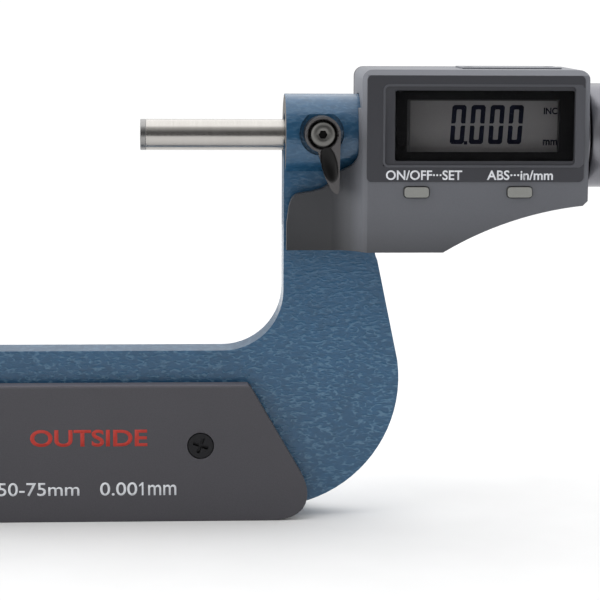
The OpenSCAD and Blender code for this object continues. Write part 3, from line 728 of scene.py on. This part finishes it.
def make_figures(left, base, y):
    """Four slanted zeros and the decimal point after the first."""
    width, height, bar, pitch, lean = 2.95, 8.05, 0.95, 3.97, 0.065
    lower = half_zero(width, height, bar)
    upper = [(x, height - z) for x, z in lower]
    verts, faces = [], []
    for place in range(4):
        for outline in (lower, upper):
            start = len(verts)
            ring = [(left + place * pitch + x + z * lean, base + z) for x, z in outline]
            verts += [(x, y, z) for x, z in ring]
            verts += [(x, y + 0.02, z) for x, z in ring]
            n = len(ring)
            faces.append(tuple(range(start, start + n)))
            faces.append(tuple(reversed(range(start + n, start + 2 * n))))
            faces += [(start + i, start + n + i, start + n + (i + 1) % n, start + (i + 1) % n)
                      for i in range(n)]
    mesh = mesh_from("display_figures", verts, faces)
    recalculate(mesh)
    new_object("display_figures", mesh, SEGMENT_INK, ROOT)
    spot = rounded_rect(left + width + 0.02, base - 0.1, left + width + 0.72, base + 0.6, 0.1)
    point = prism_mesh("display_point", spot, y, y + 0.02)
    new_object("display_point", point, SEGMENT_INK, ROOT)


def make_labels():
    """Generic words beside the buttons, and the range and resolution on the plate."""
    low = extent("display_panel")[0]
    y = low.y + 0.01
    z = low.z + 1.42
    label("label_power", "ON/OFF···SET", low.x + 11.8, y, z, 2.0, WHITE_INK, 15.7)
    label("label_unit", "ABS···in/mm", low.x + 31.6, y, z, 2.0, WHITE_INK, 13.65)
    low = extent("insulator_front")[0]
    y = low.y + 0.01
    foot = low.z + 5.65
    thin = 0.006
    label("label_range", "50-75mm", low.x + 36.4, y, foot + 1.4, 2.82, WHITE_INK, 17.0,
          thin)
    label("label_zeros", "0.00", low.x + 53.1, y, foot + 1.4, 2.82, WHITE_INK, 7.75, thin)
    label("label_unit_mm", "mm", low.x + 62.2, y, foot + 1.12, 2.24, WHITE_INK, 5.9, thin)
    x = low.x + 58.1
    one = [(x - 0.18, foot), (x + 0.18, foot), (x + 0.18, foot + 2.8), (x - 0.1, foot + 2.8),
           (x - 0.75, foot + 2.2), (x - 0.75, foot + 1.85), (x - 0.18, foot + 2.2)]
    mesh = recalculate(prism_mesh("label_one", one, y - 0.03, y))
    new_object("label_one", mesh, WHITE_INK, ROOT)
    label("label_kind", "OUTSIDE", low.x + 46.95, y, low.z + 17.9, 3.6, RED_INK, 24.4,
          weight=0.022)


# ---------------------------------------------------------------- lock


def screw_face(name, x, y, z, radius, dome, depth, socket_r, sides, material, node, tail):
    """Domed screw head facing -Y with a socket of the given number of sides."""
    steps = 96
    profile = [(socket_r * 1.22, 0.0), (radius * 0.62, -dome * 0.25), (radius * 0.86, 0.1),
               (radius, 0.36), (radius, tail)]
    verts, faces = [], []

    def corner(angle, r):
        if sides == 0:
            return r
        wedge = 2 * math.pi / sides
        return r * math.cos(wedge / 2) / math.cos((angle % wedge) - wedge / 2)

    rows = [[(0.0, depth)] * steps,
            [(corner(2 * math.pi * i / steps, socket_r), depth) for i in range(steps)],
            [(corner(2 * math.pi * i / steps, socket_r), 0.06) for i in range(steps)]]
    rows += [[(r, dy)] * steps for r, dy in profile]
    rows += [[(0.0, tail)] * steps]
    for row in rows:
        for i, (r, dy) in enumerate(row):
            a = 2 * math.pi * i / steps
            verts.append((x + r * math.cos(a), y + dy, z + r * math.sin(a)))
    for k in range(len(rows) - 1):
        for i in range(steps):
            j = (i + 1) % steps
            faces.append((k * steps + i, k * steps + j, (k + 1) * steps + j,
                          (k + 1) * steps + i))
    mesh = recalculate(mesh_from(name, verts, faces), 0.0005)
    obj = new_object(name, mesh, material, BODY_OF[node], [node])
    return round_edges(obj, 0)


def make_lock():
    """Lever with a scooped arm and a dished hub, and its domed socket screw."""
    front = extent("lock_lever")[0].y
    stud_low, stud_high = extent("lock_stud")
    x = (stud_low.x + stud_high.x) / 2
    z = (stud_low.z + stud_high.z) / 2
    lever = new_object("lock_lever_arm", clean_copy("lock_lever"), LEVER, BODY_OF["lock_lever"],
                       ["lock_lever"])
    dish = [(front - 0.5, 0), (front - 0.5, 3.6), (front, 3.25), (front + 0.75, 2.75),
            (front + 0.75, 0)]
    bowl = lathe_mesh("bowl", dish, 96)
    bowl.transform(Matrix.Rotation(math.radians(90), 4, "Z"))
    bowl.transform(Matrix.Translation(Vector((x, 0, z)) * MM))
    cut(lever, bowl)
    scoop = bpy.data.meshes.new("scoop")
    bm = bmesh.new()
    bmesh.ops.create_uvsphere(bm, u_segments=48, v_segments=32, radius=1.0)
    bm.to_mesh(scoop)
    bm.free()
    scoop.transform(Matrix.Diagonal((1.75 * MM, 1.2 * MM, 4.1 * MM, 1)))
    scoop.transform(Matrix.Rotation(math.radians(-13), 4, "Y"))
    scoop.transform(Matrix.Translation(Vector((x + 1.35, front - 0.1, z - 6.0)) * MM))
    cut(lever, scoop)
    round_edges(lever, 0.22, 3, 40)
    screw_face("lock_screw_head", x, front - 0.25, z, 2.45, 0.35, 0.75, 0.93, 6, SOCKET_STEEL,
               "lock_screw", 4.2)


# ---------------------------------------------------------------- spindle and thimble


def make_spindle():
    """The spindle with its plain threaded length, the anvil, and a carbide disc on each."""
    low, high = extent("spindle")
    r = extent("spindle_tip")[1].z
    thread_start, thread_r = high.x - 62, 3.45
    seat_start, seat_r = high.x - 7, 3
    turned("spindle_rod", [(low.x, 0), (low.x, r), (thread_start, r), (thread_start, thread_r),
                           (seat_start, thread_r), (seat_start, seat_r), (high.x, seat_r),
                           (high.x, 0)],
           SPINDLE_STEEL, "spindle", 0.03)
    for node in ("spindle_tip", "anvil_tip"):
        a, b = extent(node)
        turned(node + "_disc", [(a.x, 0), (a.x, r), (b.x, r), (b.x, 0)], CARBIDE, node, 0.12)
    a, b = extent("anvil")
    turned("anvil_rod", [(a.x, 0), (a.x, r), (b.x, r), (b.x, 0)], SPINDLE_STEEL, "anvil", 0.05)


def knurl(mesh, x0, x1, radius, count, depth, diagonal):
    """Presses a knurl into the band of a lathe mesh between x0 and x1."""
    lead = 2 * math.pi / count
    for v in mesh.vertices:
        x, y, z = (c / MM for c in v.co)
        r = math.hypot(y, z)
        if not (x0 < x < x1) or abs(r - radius) > 0.05:
            continue
        angle = math.atan2(z, y)
        fade = min(1.0, (x - x0) / 0.4, (x1 - x) / 0.4)
        if diagonal:
            slip = (x - x0) / radius
            first = abs(((angle + slip) / lead) % 1 - 0.5) * 2
            second = abs(((angle - slip) / lead) % 1 - 0.5) * 2
            dip = max(0.0, 1 - 2.2 * min(1 - first, 1 - second))
        else:
            dip = abs((angle / lead) % 1 - 0.5) * 2
        scale = (r - depth * dip * fade) / r
        v.co.y *= scale
        v.co.z *= scale


def make_thimble():
    """Thimble with a diamond-knurled grip, and the collar on the housing's end."""
    low, high = extent("thimble")
    r = high.z
    bore = extent("graduated_sleeve")[1].z + 0.3
    hub = extent("thimble_hub")[0].x
    grip, grip_end = low.x + 14, high.x - 6
    profile = [(low.x, bore), (low.x, r - 0.3), (low.x + 0.3, r), (grip, r),
               (grip + 0.3, r - 0.5), (grip + 1.2, r - 0.5)]
    rows = 96
    profile += [(grip + 1.5 + (grip_end - grip - 1.5) * i / rows, r) for i in range(rows + 1)]
    profile += [(grip_end + 0.3, r - 0.5), (grip_end + 1.2, r - 0.5), (grip_end + 1.5, r - 0.2),
                (high.x - 1.2, r - 0.6), (high.x, r - 1.8), (high.x, 5.5), (hub, 5.5),
                (hub, bore)]
    mesh = lathe_mesh("thimble_sleeve", profile, 480)
    knurl(mesh, grip + 1.5, grip_end, r, 60, 0.32, True)
    obj = new_object("thimble_sleeve", mesh, SATIN, BODY_OF["thimble"], ["thimble"])
    round_edges(obj, 0, angle=50)
    a, b = extent("end_ring")
    turned("end_collar", [(a.x, SLEEVE_BORE), (a.x, r), (b.x, r), (b.x, SLEEVE_BORE)], SATIN,
           "end_ring", 0.1)


def make_sleeve():
    """The sleeve that the thimble uncovers, with a millimetre scale wrapped round it."""
    low, high = extent("graduated_sleeve")
    r = high.z
    turned("scale_sleeve", [(low.x, SLEEVE_BORE), (low.x, r), (high.x, r),
                            (high.x, SLEEVE_BORE)], SATIN, "graduated_sleeve", 0.1)
    start = extent("thimble")[0].x
    ink_r = r + 0.012
    verts, faces = [], []

    def tick(x0, x1, a0, a1):
        steps = max(2, int(abs(a1 - a0) / 3))
        for i in range(steps + 1):
            a = math.radians(a0 + (a1 - a0) * i / steps)
            verts.extend([(x, -ink_r * math.cos(a), ink_r * math.sin(a)) for x in (x0, x1)])
            if i:
                n = len(verts)
                faces.append((n - 4, n - 3, n - 1, n - 2))

    datum = 18
    tick(start, start + 25.2, datum - 0.5, datum + 0.5)
    for mm in range(26):
        rise = 14 if mm % 5 == 0 else 9
        tick(start + mm - 0.06, start + mm + 0.06, datum, datum + rise)
    mesh = mesh_from("sleeve_scale", verts, faces)
    new_object("sleeve_scale", mesh, BLACK_INK, ROOT)
    for mm in range(0, 26, 5):
        mesh = text_mesh(f"sleeve_number_{50 + mm}", str(50 + mm), 1.5)
        for v in mesh.vertices:
            x, y, z = (c / MM for c in v.co)
            a = math.radians(datum + 21) + z / r
            rr = ink_r - y * 0.3
            v.co = Vector((start + mm + x, -rr * math.cos(a), rr * math.sin(a))) * MM
        new_object(f"sleeve_number_{50 + mm}", mesh, BLACK_INK, ROOT)


def make_ratchet():
    """Straight-knurled knob with its end cap, and the spring inside."""
    low, high = extent("ratchet_knob")
    r = high.z
    rows = 40
    grip, grip_end = low.x + 1.2, high.x - 1.4
    seat_x = high.x - 2.8
    screw_x, screw_r = high.x - 6.2, 2.05
    band = [(grip + (grip_end - grip) * i / rows, r) for i in range(rows + 1)]
    profile = [(low.x, 5.6), (low.x, r - 0.6), (low.x + 0.6, r)] + band
    profile += [(high.x - 0.8, r), (high.x, r - 0.8), (high.x, CAP_RADIUS),
                (seat_x, CAP_RADIUS), (seat_x, screw_r), (screw_x, screw_r), (screw_x, 5.6)]
    mesh = lathe_mesh("ratchet_grip", profile, 480)
    knurl(mesh, grip, grip_end, r, 60, 0.35, False)
    obj = new_object("ratchet_grip", mesh, SATIN, BODY_OF["ratchet_knob"], ["ratchet_knob"])
    round_edges(obj, 0, angle=50)
    a, b = extent("ratchet_cap")
    turned("ratchet_cap_disc", [(a.x, 0), (a.x, CAP_RADIUS), (b.x - 0.25, CAP_RADIUS),
                                (b.x, CAP_RADIUS - 0.3), (b.x, 1.2), (b.x - 0.3, 0.9),
                                (b.x - 0.3, 0)], STEEL, "ratchet_cap", 0.05)
    make_click_spring()


def make_click_spring():
    """The ratchet's spring, copied at its CAD length; nothing here shortens it as the plate
    climbs over the teeth.
    """
    coil = new_object("ratchet_coil", clean_copy("ratchet_spring"), STEEL,
                      BODY_OF["ratchet_spring"], ["ratchet_spring"])
    round_edges(coil, 0, angle=50)
    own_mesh(coil)


# ---------------------------------------------------------------- stage, light, camera


def make_stage():
    """A round pale table top, lit evenly enough to read as white."""
    middle_x = (cad_low[0] + cad_high[0]) / 2
    bm = bmesh.new()
    bmesh.ops.create_circle(bm, cap_ends=True, radius=0.6, segments=128)
    mesh = bpy.data.meshes.new("floor")
    bm.to_mesh(mesh)
    bm.free()
    floor = bpy.data.objects.new("floor", mesh)
    bpy.context.scene.collection.objects.link(floor)
    floor.location = (middle_x, 0, cad_low[2])
    n = Nodes("pale floor")
    paper = n.noise((0.05, 0.05, 0.05), detail=2)
    n.set(base_color=n.ramp(paper, [(0.3, 0.79), (0.7, 0.81)]), roughness=0.9)
    n.shader.inputs["Specular IOR Level"].default_value = 0.1
    floor.data.materials.append(n.material)


def make_light():
    """Studio surroundings: bright overhead and at the sides, dim in front and straight behind."""
    world = bpy.data.worlds.new("studio")
    bpy.context.scene.world = world
    world.use_nodes = True
    tree = world.node_tree
    light = tree.nodes["Background"]
    coords = tree.nodes.new("ShaderNodeTexCoord")
    facing = tree.nodes.new("ShaderNodeVectorMath")
    facing.operation = "DOT_PRODUCT"
    facing.inputs[1].default_value = Vector((0.18, -0.98, 0.05)).normalized()
    tree.links.new(coords.outputs["Generated"], facing.inputs[0])
    spread = tree.nodes.new("ShaderNodeMapRange")
    spread.inputs["From Min"].default_value = -1.0
    tree.links.new(facing.outputs["Value"], spread.inputs["Value"])
    ramp = tree.nodes.new("ShaderNodeValToRGB")
    stops = ((0.0, 0.22), (0.03, 0.22), (0.08, 1.0), (0.70, 1.0), (0.77, 0.42), (0.90, 0.22),
             (0.95, 0.07), (1.0, 0.06))
    while len(ramp.color_ramp.elements) < len(stops):
        ramp.color_ramp.elements.new(0.5)
    for element, (position, grey) in zip(ramp.color_ramp.elements, stops):
        element.position = position
        element.color = (grey, grey, grey, 1)
    tree.links.new(spread.outputs["Result"], ramp.inputs["Fac"])
    tree.links.new(ramp.outputs["Color"], light.inputs["Color"])
    light.inputs["Strength"].default_value = 1.75
    backdrop = tree.nodes.new("ShaderNodeBackground")
    backdrop.inputs["Color"].default_value = (1, 1, 1, 1)
    backdrop.inputs["Strength"].default_value = 1.05
    path = tree.nodes.new("ShaderNodeLightPath")
    mix = tree.nodes.new("ShaderNodeMixShader")
    tree.links.new(path.outputs["Is Camera Ray"], mix.inputs["Fac"])
    tree.links.new(light.outputs[0], mix.inputs[1])
    tree.links.new(backdrop.outputs[0], mix.inputs[2])
    tree.links.new(mix.outputs[0], tree.nodes["World Output"].inputs["Surface"])


def make_camera():
    """The photograph's viewpoint, in front of the throat and a little above the spindle."""
    sensor = 36.0
    focal_pixels = 2188.5
    image_pixels = 600.0
    viewpoint = (57.9, -458.3, 28.3)
    data = bpy.data.cameras.new("camera")
    data.sensor_width = sensor
    data.lens = sensor * focal_pixels / image_pixels
    camera = bpy.data.objects.new("camera", data)
    bpy.context.scene.collection.objects.link(camera)
    camera.location = Vector(viewpoint) * MM
    yaw = math.radians(3.203)
    pitch = math.radians(7.847)
    roll = math.radians(0.28)
    look = Euler((math.radians(90) - pitch, 0, -yaw), "XYZ").to_matrix()
    tilt = Matrix.Rotation(roll, 3, "Z")
    camera.rotation_euler = (look @ tilt).to_euler()
    bpy.context.scene.camera = camera
    bpy.context.scene.view_settings.view_transform = "Standard"


make_camera()
finish_cad_nodes()
make_frame()
make_insulators()
make_housing()
make_display()
make_labels()
make_lock()
make_spindle()
make_thimble()
make_sleeve()
make_ratchet()
make_stage()
make_light()
